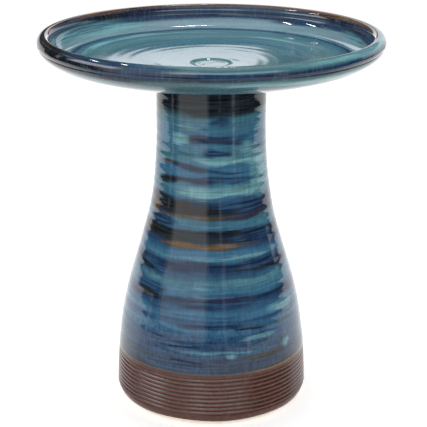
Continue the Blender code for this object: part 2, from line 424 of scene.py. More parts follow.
GLAZE = {
    "ink": linear(16, 17, 26),
    "umber": linear(24, 22, 28),
    "olive": linear(54, 43, 30),
    "ochre": linear(118, 88, 42),
    "plum": linear(50, 42, 62),
    "navy": linear(22, 34, 64),
    "blue": linear(38, 70, 104),
    "azure": linear(56, 102, 132),
    "teal": linear(62, 108, 124),
    "sea": linear(92, 142, 140),
    "pale": linear(116, 162, 172),
    "slate": linear(56, 72, 92),
    "gloom": linear(42, 56, 78),
    "rust": linear(104, 70, 48),
    "dusk": linear(50, 70, 96),
    "lagoon": linear(84, 122, 130),
    "mist": linear(112, 142, 154),
    "moss": linear(68, 98, 102),
    # The next colour is painted shade, used only on the basin's underside.
    "underside_shade": linear(46, 74, 80),
}

# Unglazed colours: the brown wash, with a painted highlight for its ridges and painted shade for its
# grooves, the bare clay, and the ochre where the glaze thins to its edge.
EARTH = {
    # These two are painted shade in the grooves and a painted highlight on the ridges.
    "groove": linear(20, 10, 8),
    "ridge": linear(104, 66, 54),
    "thick_wash": linear(76, 40, 30),
    "thin_wash": linear(116, 84, 72),
    "foot": linear(226, 212, 196),
    "foot_light": linear(242, 232, 220),
    "collar": linear(190, 172, 154),
    "collar_light": linear(216, 202, 186),
    "inside": linear(150, 128, 108),
    "inside_light": linear(186, 168, 148),
    "thin_glaze": linear(142, 122, 66),
}

# Bands on the pedestal: height in mm, colour, from the glaze line up to the lip.
PEDESTAL_BANDS = (
    (74, "gloom"), (94, "gloom"), (102, "blue"), (112, "dusk"), (122, "blue"), (138, "azure"),
    (146, "blue"), (158, "azure"), (168, "blue"), (176, "navy"), (186, "azure"), (201, "teal"),
    (210, "blue"), (221, "navy"), (229, "azure"), (237, "azure"), (243, "blue"), (252, "navy"),
    (264, "ink"), (270, "azure"), (279, "teal"), (286, "plum"), (294, "navy"), (304, "navy"),
    (313, "azure"), (325, "teal"), (338, "azure"), (352, "azure"), (364, "teal"), (390, "azure"),
    # The ink at the top, under the basin, is dark glaze partly and painted shade from the basin partly.
    (418, "teal"), (429, "ink"),
)

# Bands across the basin, by distance along its outline: (station, offset in mm, colour).
BASIN_BANDS = (
    ("centre", 0, "lagoon"), ("centre", 70, "lagoon"), ("floor", -60, "teal"), ("floor", -30, "lagoon"),
    ("floor", -6, "teal"), ("floor", -1, "navy"), ("floor", 2.5, "dusk"), ("floor", 6, "mist"),
    ("wall", -15, "mist"), ("wall", -11, "mist"), ("wall", -7, "dusk"), ("crest", -12, "dusk"),
    ("crest", -8.5, "slate"), ("crest", -6, "rust"), ("crest", -2, "rust"), ("crest", 1.5, "lagoon"),
    # Down the rim's outside the glaze darkens to navy at the crease below it; that navy is glaze colour
    # partly and painted shade in the crease partly.
    ("crest", 6, "lagoon"), ("crest", 12.5, "teal"), ("crest", 14, "dusk"), ("crest", 15.5, "navy"),
    # Past the rim the darkest band, 22 mm on, is painted shade on the underside.
    ("rim", 1.8, "navy"), ("rim", 2.6, "moss"), ("rim", 15, "moss"), ("rim", 22, "underside_shade"),
    ("rim", 60, "moss"),
)

# Strokes by colour: (height mm, bearing, half length in degrees, half width mm, rise mm, strength).
# Later colours lie over earlier ones.
PEDESTAL_STROKES = {
    "pale": (
        (372, 46, 22, 14, -8, 0.9), (322, 4, 58, 5, 2, 0.7), (231, 0, 70, 2.5, 1, 0.9),
        (200, -50, 16, 5, -2, 0.5), (198, 34, 34, 9, 0, 0.6), (156, 54, 16, 12, -2, 0.9),
        (108, 6, 34, 4, -2, 0.7), (102, 12, 4, 9, 0, 0.7), (104, 53, 5, 10, 4, 0.8),
        (270, 24, 48, 5, 0, 0.5), (340, 54, 14, 20, 0, 1.0), (310, 56, 12, 8, 0, 0.8),
        (124, 32, 18, 6, 0, 0.8), (360, -50, 18, 4, 0, 0.6),
    ),
    "sea": (
        (406, -22, 22, 6, 2, 0.8), (389, -33, 12, 10, 0, 0.9), (359, 26, 52, 7, -5, 0.9),
        (317, 18, 60, 7, 3, 1.0), (342, 62, 12, 10, 0, 0.7), (205, -52, 14, 7, -5, 0.6),
    ),
    "plum": (
        (390, 0, 27, 8, -1, 1.0), (373, 58, 18, 5, -2, 0.7), (351, -24, 30, 5, -4, 0.9),
        (334, -22, 40, 6, 2, 1.0), (284, 26, 44, 4, 0, 0.9), (222, -18, 26, 8, 2, 0.6),
        (176, 4, 32, 5, 2, 0.8), (298, 66, 16, 9, 0, 0.7), (140, 26, 24, 4, -3, 0.7),
        (88, -30, 34, 3, 2, 0.6),
    ),
    "navy": (
        (371, 6, 19, 7, 0, 1.0), (345, 14, 34, 3, -4, 0.8), (335, 20, 30, 4.5, -3, 1.0),
        (298, 30, 30, 11, 0, 1.0), (257, 36, 30, 9, 0, 1.0), (220, 44, 26, 9, -2, 1.0),
        (214, -48, 20, 10, 2, 1.0), (186, -50, 18, 11, 0, 1.2), (170, 8, 34, 5, 1, 1.0),
        (144, 4, 30, 5, 0, 0.9), (165, -38, 16, 12, 0, 0.7), (390, 30, 16, 5, 0, 0.8),
        (412, 8, 15, 9, 0, 0.9), (276, -50, 20, 9, 0, 1.1), (118, -22, 22, 8, -2, 0.9),
        (88, -20, 40, 7, 2, 0.7), (384, 24, 16, 4, 0, 0.8),
    ),
    "olive": (
        (297, -46, 34, 13, 0, 1.2), (294, -14, 26, 10, 0, 0.8), (258, -42, 36, 9, 0, 1.2),
        (256, 0, 30, 7, 0, 0.8), (98, 34, 20, 5, 0, 0.9), (214, 30, 36, 2.5, -1, 0.8),
        (136, 56, 24, 6, -4, 0.7), (79, 44, 26, 3, 0, 0.7), (78, -56, 30, 3, 2, 0.8),
    ),
    "ink": (
        # The first ink stroke, at the top under the basin, is dark glaze partly and painted shade partly.
        (438, 16, 50, 13, 0, 1.3), (433, -52, 18, 3, 0, 1.0), (330, -48, 20, 4, 5, 1.1),
        (300, -48, 14, 10, 0, 1.0), (261, -48, 18, 7, 0, 1.0), (262, 20, 44, 3, 0, 0.8),
        (178, -48, 14, 4, -3, 1.0), (137, 26, 15, 2.2, -4, 1.1), (213, 52, 16, 3, -3, 0.9),
        (212, -58, 12, 4, -4, 0.8), (268, -62, 8, 5, 0, 1.0), (292, 12, 22, 5, 0, 0.9),
    ),
    "ochre": (
        (285, -8, 60, 2.6, 1, 0.8), (247, -4, 50, 4.6, 0, 1.0), (288, -64, 10, 6, 2, 0.9),
        (175, -50, 12, 2, -2, 0.8), (99, 36, 18, 2.5, 0, 0.7), (354, -52, 14, 3, 3, 0.7),
        (76.6, 42, 24, 1.6, 0, 1.3),
    ),
}

# The basin's strokes have a station and an offset in mm along its outline in place of the height.
# The thin dark strokes 17 mm past the crest and 2 mm past the rim lie at the crease; they are glaze partly
# and painted shade partly.
BASIN_STROKES = {
    "pale": (
        ("wall", -8, -112, 44, 8, 4, 1.1), ("floor", -28, -150, 60, 4, 0, 0.6),
        ("wall", -8, 168, 18, 3, 0, 0.6), ("crest", 6, 62, 40, 5, 0, 0.7), ("rim", 8, 0, 50, 4, 0, 0.5),
        ("floor", 2, 120, 30, 2.5, 0, 0.7), ("wall", -10, 108, 14, 6, 4, 0.9),
        ("crest", -15, -122, 20, 3, 3, 0.7),
    ),
    "sea": (
        ("floor", -14, -140, 50, 7, 0, 0.8), ("rim", 12, 30, 36, 6, 0, 0.7),
        ("crest", 7, 50, 30, 4, 0, 0.8), ("wall", -18, -132, 26, 5, 0, 0.9),
        ("floor", -34, 140, 30, 3, 0, 0.8), ("floor", -48, 150, 22, 2, 0, 0.8),
    ),
    "plum": (
        ("crest", -13, -146, 22, 4, -2, 1.1), ("crest", 3, -52, 24, 5, 0, 1.0),
        ("crest", 17, 26, 40, 2.5, 0, 0.9), ("crest", -14, 116, 22, 6, 2, 1.1),
        ("rim", 6, -42, 26, 4, 0, 1.0), ("floor", -66, 150, 60, 3, 0, 0.4),
        ("crest", 14, -20, 30, 3, 0, 0.8),
    ),
    "navy": (
        ("wall", -2, 165, 26, 4, 1, 0.9), ("wall", -8, 134, 24, 4, -2, 0.9),
        ("crest", 7, -30, 26, 6, 1, 1.0), ("crest", 15, 62, 30, 3.5, 0, 1.0),
        ("crest", 17, -8, 70, 2.2, 0, 1.0),
    ),
    "olive": (
        ("crest", 6, -88, 36, 13, 0, 1.5), ("crest", -12, -130, 16, 4, 0, 0.9),
        ("crest", 15, 88, 20, 6, 0, 1.2), ("crest", -6, -166, 40, 2.5, 0, 0.8),
        ("rim", 4, -62, 20, 4, 0, 1.0),
    ),
    "ink": (
        ("crest", 13, -64, 34, 7, 0, 1.5), ("crest", 17, 76, 26, 3, 0, 1.1),
        ("rim", 2, -60, 34, 3, 0, 1.1), ("crest", 10, -98, 14, 7, 0, 1.0),
    ),
    "ochre": (
        ("crest", -8, 128, 12, 3, -2, 1.3), ("crest", -7, -150, 24, 1.6, 0, 0.6),
        ("crest", 5, -88, 10, 3, 0, 0.9), ("crest", 9, -74, 8, 2, 0, 0.8),
    ),
}

# The second colour that shows in each stroke's brush lines.
STROKE_UNDERTONE = {
    "pale": "teal", "sea": "pale", "plum": "navy", "navy": "blue", "olive": "ink", "ink": "umber",
    "ochre": "olive",
}

# Seeded strokes dress the pedestal's far side: how many of each colour, and the range of each value.
FAR_SIDE_STROKES = {"pale": 9, "sea": 7, "plum": 8, "navy": 9, "olive": 5, "ink": 5, "ochre": 2}
FAR_SIDE_RANGES = ((90, 430), (85, 275), (16, 50), (3, 9), (-5, 5), (0.7, 1.1))
PEDESTAL_STROKE_SEED = 31
BASIN_STROKE_SEED = 61

# Along a stroke its line wanders by so many mm and its width swells by a part of itself.
STROKE_WANDER = 0.8
STROKE_WANDER_DEG = (4, 9)
STROKE_SWELLING = 0.3
STROKE_SWELLING_DEG = (6, 14)
STROKE_PHASE = (0, 6)


def seeded_wave(turn, lengths, draw):
    return np.sin(turn / draw.uniform(*lengths) + draw.uniform(*STROKE_PHASE))


def stroke_field(strokes, heights, bearings, draw, spare):
    """Full strength in the middle of a stroke, falling to 0 at its ends; `spare` seeded ones are added."""
    field = np.zeros((len(heights), len(bearings)))
    everywhere = list(strokes)
    for _ in range(spare):
        everywhere.append([draw.uniform(low, high) for low, high in FAR_SIDE_RANGES])
    for height, bearing, half_length, half_width, rise, strength in everywhere:
        turn = (bearings - bearing + 180) % 360 - 180
        along = turn / half_length
        waver = STROKE_WANDER * seeded_wave(turn, STROKE_WANDER_DEG, draw)
        width = half_width * (1 + STROKE_SWELLING * seeded_wave(turn, STROKE_SWELLING_DEG, draw))
        across = (heights[:, None] * 1000 - height - rise * along - waver) / width
        field = np.maximum(field, strength * np.exp(-np.abs(along) ** 3 - across ** 2))
    return field


# ---- Node helpers
class Look:
    """A Principled material with short calls for the nodes that this scene uses."""

    def __init__(self, name):
        self.material = bpy.data.materials.new(name)
        self.material.use_nodes = True
        self.tree = self.material.node_tree
        self.surface = self.tree.nodes["Principled BSDF"]

    def plug(self, value, socket):
        """Link a socket, or set a constant."""
        if isinstance(value, bpy.types.NodeSocket):
            self.tree.links.new(value, socket)
        else:
            socket.default_value = value

    def fill(self, node, **inputs):
        """Link or set a node's inputs, by name with _ for a space."""
        for name, value in inputs.items():
            self.plug(value, node.inputs[name.replace("_", " ")])

    def node(self, kind, settings=None, **inputs):
        made = self.tree.nodes.new("ShaderNode" + kind)
        for name, value in (settings or {}).items():
            setattr(made, name, value)
        self.fill(made, **inputs)
        return made

    def attribute(self, name, output="Fac"):
        return self.node("Attribute", {"attribute_name": name}).outputs[output]

    def noise(self, vector, scale, detail, roughness, distortion=0.0):
        """A noise with its own scale, in cycles per metre, along each axis."""
        place = self.node("Mapping", Vector=vector, Scale=scale).outputs["Vector"]
        made = self.node("TexNoise", Vector=place, Scale=1.0, Detail=detail, Roughness=roughness,
                         Distortion=distortion)
        return made.outputs["Fac"]

    def math(self, operation, first, second):
        made = self.node("Math", {"operation": operation})
        self.plug(first, made.inputs[0])
        self.plug(second, made.inputs[1])
        return made.outputs[0]

    def add(self, first, second):
        return self.math("ADD", first, second)

    def times(self, first, second):
        return self.math("MULTIPLY", first, second)

    def swing(self, noise, size):
        """A noise moved to vary about 0, `size` from end to end."""
        return self.times(self.add(noise, -0.5), size)

    def rising(self, value, start, rise):
        """`start` where the value is 0, and `rise` more where it is 1."""
        return self.add(self.times(value, rise), start)

    def between(self, value, low, high):
        """A smooth step from 0 at low to 1 at high."""
        made = self.node("MapRange", {"interpolation_type": "SMOOTHSTEP"}, Value=value, From_Min=low,
                         From_Max=high)
        return made.outputs["Result"]

    def blend(self, amount, first, second, mode="MIX", kind="RGBA"):
        settings = {"data_type": kind, "blend_type": mode}
        return self.node("Mix", settings, Factor=amount, A=first, B=second).outputs["Result"]

    def blend_value(self, amount, first, second):
        return self.blend(amount, first, second, kind="FLOAT")

    def shaded(self, colour, depth):
        """The colour times a grey."""
        grey = self.node("CombineColor", Red=depth, Green=depth, Blue=depth).outputs["Color"]
        return self.blend(1.0, colour, grey, "MULTIPLY")

    def ramp(self, value, stops):
        made = self.node("ValToRGB", Fac=value)
        elements = made.color_ramp.elements
        elements.remove(elements[1])
        elements[0].position, elements[0].color = stops[0]
        for place, colour in stops[1:]:
            elements.new(place).color = colour
        return made.outputs["Color"]

    def bump(self, height, distance, **normal):
        return self.node("Bump", Strength=1.0, Distance=distance, Height=height, **normal).outputs["Normal"]

    def dress(self, **inputs):
        self.fill(self.surface, **inputs)


# ---- Materials
# Noises: scale along x, y and the outline in cycles per metre, detail, roughness, distortion.
NOISES = {
    "drift": ((5, 5, 11), 2.0, 0.5),
    "streak": ((9, 9, 75), 4.0, 0.55, 0.2),
    "brush": ((16, 16, 330), 3.0, 0.6),
    "mottle": ((160, 160, 160), 3.0, 0.6),
    "runs": ((150, 150, 9), 3.0, 0.6),
    "fine_runs": ((300, 300, 22), 3.0, 0.6),
    "scratch": ((420, 420, 30), 2.0, 0.6),
    "speckle": ((240, 240, 120), 3.0, 0.65),
    "grain": ((900, 900, 900), 2.0, 0.5),
    "dust": ((700, 700, 700), 4.0, 0.6),
}

# How far noises move the bands, in metres, and how much they break up the strokes' strength.
PEDESTAL_WANDER = {"drift": 0.020, "streak": 0.018, "brush": 0.008}
BASIN_WANDER = {"drift": 0.008, "streak": 0.005}
STROKE_RAGGED = {"streak": 1.0, "brush": 0.7}
STROKE_EDGE = (0.28, 0.78)
STROKE_COVER = 0.92
UNDERTONE_LINES = (0.35, 0.65)

# Pale lines in the glaze: noise, from, to, strength.
PEDESTAL_PALE_LINES = ("brush", 0.30, 0.72, 0.07)
BASIN_PALE_LINES = ("fine_runs", 0.45, 0.75, 0.14)

# Depth of colour: noise, from, to, depth before it, rise over it.
PEDESTAL_DEPTHS = (
    ("runs", 0.3, 0.7, 0.86, 0.22), ("scratch", 0.35, 0.65, 0.94, 0.12), ("brush", 0.35, 0.65, 0.92, 0.16),
)
BASIN_DEPTHS = (("streak", 0.3, 0.7, 0.82, 0.22),)
MOTTLE_DEPTH = (0.85, 0.30)
SPECKLE_RANGE = (0.48, 0.66)
SPECKLE_HEIGHTS = (0.165, 0.125)
SPECKLE_DEPTH = -0.42

# Brown wash: noise, from, to, strength, colour.
WASH_PATCHES = (("streak", 0.35, 0.7, 0.5, "thick_wash"), ("mottle", 0.45, 0.7, 0.25, "thin_wash"))
CLAY_MOTTLE = (0.3, 0.7)

# Edges of the glaze, of its ochre line and of the wash, in metres from their lines.
GLAZE_EDGE = (-0.0002, 0.0004)
GLAZE_EDGE_MOTTLE = 0.0016
OCHRE_EDGE = (0.0030, 0.0008)
OCHRE_STRENGTH = 0.2
BARE_EDGE = (0.0006, -0.0006)
BARE_EDGE_MOTTLE = 0.002

# Roughness as a start and a rise with the mottle, and depths of fine relief in metres.
PEDESTAL_ROUGHNESS = (0.035, 0.05)
WASH_ROUGHNESS = (0.09, 0.08)
BASIN_ROUGHNESS = (0.03, 0.05)
CLAY_ROUGHNESS = 0.8
GLAZE_IOR = 1.52
GLAZE_GRAIN = 0.35
PEDESTAL_RIPPLE = 0.00025
PEDESTAL_GRAIN = 0.00012
BASIN_RIPPLE = 0.00004

BUMPER_COLOURS = (linear(206, 208, 204), linear(176, 172, 162))
BUMPER_DUST = (0.4, 0.75)
BUMPER_ROUGHNESS = (0.3, 0.3)
BUMPER_GRAIN = 0.00005
BUMPER_MILKINESS = 0.3
BUMPER_SCATTER = (0.002, 0.002, 0.002)


def noises_over(look, place, names):
    """The named noises, by name."""
    return {name: look.noise(place, *NOISES[name]) for name in names}


def moved(look, value, noises, sizes):
    """The value moved up and down by noises, each by its own size."""
    for name, size in sizes.items():
        value = look.add(value, look.swing(noises[name], size))
    return value


def stroke_layers(look, colour, names, noises):
    """Strokes with ragged ends, laid over the colour so far."""
    lines = look.between(noises["brush"], *UNDERTONE_LINES)
    for name in names:
        field = moved(look, look.attribute(name + "_strokes"), noises, STROKE_RAGGED)
        mask = look.times(look.between(field, *STROKE_EDGE), STROKE_COVER)
        tone = look.blend(lines, GLAZE[name], GLAZE[STROKE_UNDERTONE[name]])
        colour = look.blend(mask, colour, tone)
    return colour


def patches(look, noises, name, low, high, strength):
    """Where the noise is high, at most `strength`."""
    return look.times(look.between(noises[name], low, high), strength)


def glaze_depth(look, noises, steps):
    """How noises deepen and lighten the colour."""
    depth = look.rising(noises["mottle"], *MOTTLE_DEPTH)
    for name, low, high, start, rise in steps:
        depth = look.times(depth, look.rising(look.between(noises[name], low, high), start, rise))
    return depth


def bare_zone(look, field, mottle):
    """1 below the line where the glaze or the wash ends and the clay is bare."""
    above = look.add(look.attribute(field), look.swing(mottle, BARE_EDGE_MOTTLE))
    return look.between(above, *BARE_EDGE)


def clay_colour(look, mottle, name):
    return look.blend(look.between(mottle, *CLAY_MOTTLE), EARTH[name], EARTH[name + "_light"])


def pedestal_glaze_colour(look, noises):
    """Brushed bands and strokes, deepened by runs, scratches and, low down, speckles."""
    height = look.attribute("height")
    place = look.math("DIVIDE", moved(look, height, noises, PEDESTAL_WANDER), PEDESTAL_HEIGHT)
    stops = [(band / 1000 / PEDESTAL_HEIGHT, GLAZE[colour]) for band, colour in PEDESTAL_BANDS]
    colour = stroke_layers(look, look.ramp(place, stops), PEDESTAL_STROKES, noises)
    pale_lines = patches(look, noises, *PEDESTAL_PALE_LINES)
    colour = look.blend(pale_lines, colour, GLAZE["pale"], "SCREEN")
    low_down = look.between(height, *SPECKLE_HEIGHTS)
    speckled = look.times(look.between(noises["speckle"], *SPECKLE_RANGE), low_down)
    depth = look.times(glaze_depth(look, noises, PEDESTAL_DEPTHS),
                         look.rising(speckled, 1.0, SPECKLE_DEPTH))
    return look.shaded(colour, depth)


def wash_and_ridge_shading(look, noises):
    """Brown base: wash patches over a painted highlight on the ridges and painted shade in the grooves."""
    brown = look.blend(look.attribute("crest"), EARTH["groove"], EARTH["ridge"])
    for *settings, tone in WASH_PATCHES:
        brown = look.blend(patches(look, noises, *settings), brown, EARTH[tone])
    return brown


def pedestal_material():
    """Glaze over brown wash over clay, with a faint ochre line where the glaze thins to its edge."""
    look = Look("pedestal_glaze_look")
    names = ("drift", "streak", "brush", "mottle", "runs", "scratch", "speckle", "grain")
    noises = noises_over(look, look.attribute("turn", "Vector"), names)
    mottle = noises["mottle"]
    above_line = look.add(look.attribute("above_line"), look.swing(mottle, GLAZE_EDGE_MOTTLE))
    glazed = look.between(above_line, *GLAZE_EDGE)
    bare = bare_zone(look, "above_clay", mottle)
    inside = look.attribute("inside")

    ochre = look.times(look.times(glazed, look.between(above_line, *OCHRE_EDGE)), OCHRE_STRENGTH)
    glaze = look.blend(ochre, pedestal_glaze_colour(look, noises), EARTH["thin_glaze"])
    colour = look.blend(glazed, wash_and_ridge_shading(look, noises), glaze)
    colour = look.blend(bare, colour, clay_colour(look, mottle, "foot"))
    inner_clay = look.blend(noises["drift"], EARTH["inside"], EARTH["inside_light"])
    colour = look.blend(inside, colour, inner_clay)

    roughness = look.blend_value(glazed, look.rising(mottle, *WASH_ROUGHNESS),
                                   look.rising(mottle, *PEDESTAL_ROUGHNESS))
    roughness = look.blend_value(look.math("MAXIMUM", bare, inside), roughness, CLAY_ROUGHNESS)
    grain = look.blend_value(glazed, noises["grain"], look.times(mottle, GLAZE_GRAIN))
    ripple = look.bump(noises["streak"], PEDESTAL_RIPPLE)
    fine = look.bump(grain, PEDESTAL_GRAIN, Normal=ripple)
    look.dress(Base_Color=colour, Roughness=roughness, Normal=fine, IOR=GLAZE_IOR)
    return look.material


def basin_material(stations, length):
    """Glaze in bands and strokes along the outline, with bare clay from the seat down."""
    look = Look("basin_glaze_look")
    names = ("drift", "streak", "brush", "mottle", "fine_runs")
    noises = noises_over(look, look.attribute("turn", "Vector"), names)
    mottle = noises["mottle"]
    along = moved(look, look.attribute("arc"), noises, BASIN_WANDER)
    stops = []
    for station, offset, colour in BASIN_BANDS:
        stops.append(((stations[station] + offset / 1000) / length, GLAZE[colour]))
    bands = look.ramp(look.math("DIVIDE", along, length), stops)
    colour = stroke_layers(look, bands, BASIN_STROKES, noises)
    pale_lines = patches(look, noises, *BASIN_PALE_LINES)
    colour = look.blend(pale_lines, colour, GLAZE["pale"], "SCREEN")
    colour = look.shaded(colour, glaze_depth(look, noises, BASIN_DEPTHS))
    bare = bare_zone(look, "above_seat", mottle)
    colour = look.blend(bare, colour, clay_colour(look, mottle, "collar"))
    roughness = look.blend_value(bare, look.rising(mottle, *BASIN_ROUGHNESS), CLAY_ROUGHNESS)
    ripple = look.bump(noises["streak"], BASIN_RIPPLE)
    fine = look.bump(look.times(mottle, GLAZE_GRAIN), BASIN_RIPPLE, Normal=ripple)
    look.dress(Base_Color=colour, Roughness=roughness, Normal=fine, IOR=GLAZE_IOR)
    return look.material


def bumper_material():
    """Frosted silicone with a little dust."""
    look = Look("bumper_look")
    place = look.node("TexCoord").outputs["Object"]
    dust = look.noise(place, *NOISES["dust"])
    colour = look.blend(look.between(dust, *BUMPER_DUST), *BUMPER_COLOURS)
    look.dress(Base_Color=colour, Roughness=look.rising(dust, *BUMPER_ROUGHNESS),
               Normal=look.bump(dust, BUMPER_GRAIN), Subsurface_Weight=BUMPER_MILKINESS,
               Subsurface_Radius=BUMPER_SCATTER)
    return look.material


# ---- The pieces
def wavy_line(height, waves, angle):
    """Height of a hand-made line around the pedestal."""
    return height + relief(waves, angle, np.zeros(1))[0]


def pedestal_offset(heights, angle, above_line, outside):
    """Turning marks on the glazed wall, and the step down to the thinner wash below the glaze."""
    marks = sum(relief(waves, angle, heights) for waves in PEDESTAL_WAVES)
    shown = smooth_step(heights, GLAZE_LINE, GLAZE_LINE + PEDESTAL_FADE_IN)
    shown *= smooth_step(heights, PEDESTAL_HEIGHT, PEDESTAL_HEIGHT - PEDESTAL_FADE_OUT)
    glaze = GLAZE_THICKNESS * (smooth_step(above_line, 0.0, GLAZE_STEP_HEIGHT) - 1)
    return (marks * shown[:, None] + glaze) * outside[:, None]


def build_pedestal():
    outline, outside_count = pedestal_outline()
    steps = PEDESTAL_STEPS
    angle = angles_around(steps)
    bearing = np.degrees(angle) + 90
    heights = outline[:, 1]
    outside = np.arange(len(outline)) < outside_count
    above_line = heights[:, None] - wavy_line(GLAZE_LINE, GLAZE_LINE_WAVES, angle)[None, :]
    clay_line = wavy_line(CLAY_LINE, CLAY_LINE_WAVES, angle)
    clay_line += CLAY_TILT * np.cos(np.radians(bearing - CLAY_HIGH_BEARING))
    crown, among = ridges(heights)
    fields = {
        "turn": turning_field(outline, heights, steps),
        "height": spread(heights, steps),
        "above_line": above_line,
        "above_clay": heights[:, None] - clay_line[None, :],
        # crest is 1 on the ridges' crowns: it sets the wash's painted highlight and painted shade.
        "crest": spread(np.where(among, crown ** CREST_SHARPNESS, CREST_ELSEWHERE), steps),
        "inside": spread((~outside).astype(float), steps),
    }
    draw = random.Random(PEDESTAL_STROKE_SEED)
    for name, strokes in PEDESTAL_STROKES.items():
        fields[name + "_strokes"] = stroke_field(strokes, heights, bearing, draw, FAR_SIDE_STROKES[name])
    offset = pedestal_offset(heights, angle, above_line, outside)
    piece = turned_mesh("pedestal_glazed", outline, steps, True, offset, fields)
    piece.data.materials.append(pedestal_material())
    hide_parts("pedestal")
    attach(piece, "pedestal")


def basin_offset(arc, angle, stations, under_end):
    """Turning marks from the centre of the floor to the underside, calmer on the floor."""
    shown = smooth_step(arc, 0.0, BASIN_CENTRE_FADE) * (arc < under_end - UNDERSIDE_MARGIN)
    on_floor = smooth_step(arc, stations["floor"], stations["floor"] - BASIN_FLOOR_FADE)
    rings = relief(BASIN_RINGS, angle, arc) * (1 - BASIN_FLOOR_CALM * on_floor[:, None])
    return (rings + relief(BASIN_WAVES, angle, arc)) * shown[:, None]


def above_seat(outline, arc, rim_end):
    """Height above where the underside's glaze stops; the basin's top counts as well above it."""
    on_underside = arc > rim_end + UNDERSIDE_START
    return np.where(on_underside, outline[:, 1] - SEAT_HEIGHT - GLAZED_ABOVE_SEAT, WELL_ABOVE)


def build_basin():
    outline, ends = basin_outline()
    steps = BASIN_STEPS
    angle = angles_around(steps)
    bearing = np.degrees(angle) + 90
    arc = arc_lengths(outline)
    stations = {name: arc[ends[name] - 1] for name in ("floor", "wall", "rim")}
    stations["centre"] = 0.0
    stations["crest"] = arc[np.argmax(outline[:, 1])]
    fields = {
        "turn": turning_field(outline, arc, steps),
        "arc": spread(arc, steps),
        "above_seat": spread(above_seat(outline, arc, stations["rim"]), steps),
    }
    draw = random.Random(BASIN_STROKE_SEED)
    for name, strokes in BASIN_STROKES.items():
        placed = [(stations[station] * 1000 + offset_mm, *rest) for station, offset_mm, *rest in strokes]
        fields[name + "_strokes"] = stroke_field(placed, arc, bearing, draw, 0)
    offset = basin_offset(arc, angle, stations, arc[ends["under"] - 1])
    piece = turned_mesh("basin_glazed", outline, steps, False, offset, fields)
    piece.data.materials.append(basin_material(stations, float(arc[-1])))
    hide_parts("basin")
    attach(piece, "basin")


def dress_bumpers():
    material = bumper_material()
    for name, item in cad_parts.items():
        if name.startswith("seat_bumper"):
            for slot in item.material_slots:
                slot.material = material


# ---- The studio
# The camera's distance and height are in heights of the object.
CAMERA_DISTANCE = 3.358 * TOTAL_HEIGHT
CAMERA_HEIGHT = 1.630 * TOTAL_HEIGHT
CAMERA_PITCH_DEG = 18.495
CAMERA_LENS = 111.09
CAMERA_SENSOR = 36.0
CAMERA_SHIFT = 0.0052
CAMERA_REACH = 30.0

# The left half of the paper's edge, from front to back. Its right half mirrors it.
PAPER_EDGE = ((-0.35, -0.76), (-0.90, -0.42), (-1.30, 0.12), (-1.62, 0.30), (-1.75, 2.0))
PAPER_WHITE = (0.93, 0.93, 0.93, 1.0)
# The paper's painted shade in front of the object, which only reflections show.
PAPER_IN_GLOSS = (0.58, 0.56, 0.58, 1.0)
PAPER_FRONT = (0.1, -0.1)
PAPER_GLOW = 0.32
PAPER_ROUGHNESS = 0.9
PAPER_SPECULAR = 0.1

ROOM_COLOUR = (0.035, 0.040, 0.050)
AMBIENT = 0.75
BACKDROP = 1.0

# Soft boxes for matt surfaces.
CEILING_PLACE = (0.0, 0.5, 2.3)
CEILING_SIZE = (2.6, 2.6)
CEILING_RADIANCE = 1.7
KEY_BEARING = -20
KEY_DISTANCE = 2.3
KEY_HEIGHT = 1.5
KEY_SIZE = (2.0, 1.6)
KEY_RADIANCE = 1.0
KEY_AIM = (0.0, 0.0, 0.3)

# Screens in front, seen only in the gloss: bearing from, bearing to, radiance.
FRONT_SCREENS = ((-73, -4, 0.35), (-68, -8, 0.65))
SCREEN_DISTANCE = 1.2
SCREEN_HEIGHT = 1.9

# Thin lamps for crisp highlights: bearing, distance, length.
TUBES = ((-112, 1.6, 0.5), (-119, 2.1, 0.7), (-106, 1.0, 0.4), (177, 1.05, 0.12), (174, 1.2, 0.10))
TUBE_HEIGHT = 2.2
TUBE_WIDTH = 0.035
TUBE_RADIANCE = 60.0
TUBE_AIM = (0.0, 0.0, 0.5)

# What else the gloss reflects, in degrees: bearings from, to, softness, elevations from, to, softness,
# brightness. Panels at the back run from the right through 180 to the left.
ALL_ROUND = 400
SHELL_PANELS = (
    (177.1, 187, 0.3, 4, 44, 1.5, 1.60),
    (108, 173.4, 1.0, -4, 20, 1.5, 1.10),
    (173, 228, 1.0, -6, 9, 2.0, 0.95),
    (126, 234, 3.0, -40, -4, 2.0, 0.60),
    (38, 60, 3.0, -40, 40, 5.0, 0.14),
    (-ALL_ROUND, ALL_ROUND, 1.0, 64, 120, 9.0, 0.90),
    (-24, 44, 8.0, 14, 34, 4.0, 3.20),
    (-100, -62, 6.0, 14, 34, 4.0, 5.00),
    (15, 19, 1.5, -9, 26, 5.0, 0.55),
    (43, 49, 1.5, -24, -9, 4.0, 1.10),
    (-88, -84, 1.5, -24, -6, 4.0, 0.90),
    (-114, -110, 1.5, 2, 22, 4.0, 1.00),
)
SHELL_COLOUR = (0.95, 0.94, 1.0, 1.0)
SHELL_RADIUS = 2.6
SHELL_CENTRE_HEIGHT = 0.3
SHELL_AROUND = 720
SHELL_UP = 120
ROOM_GLOW = 0.02


def build_camera():
    data = bpy.data.cameras.new("camera")
    data.lens = CAMERA_LENS
    data.sensor_width = CAMERA_SENSOR
    data.shift_x = CAMERA_SHIFT
    data.clip_end = CAMERA_REACH
    camera = add_object("camera", data)
    camera.location = (0.0, -CAMERA_DISTANCE, CAMERA_HEIGHT)
    camera.rotation_euler = (math.radians(90 - CAMERA_PITCH_DEG), 0.0, 0.0)
    bpy.context.scene.camera = camera


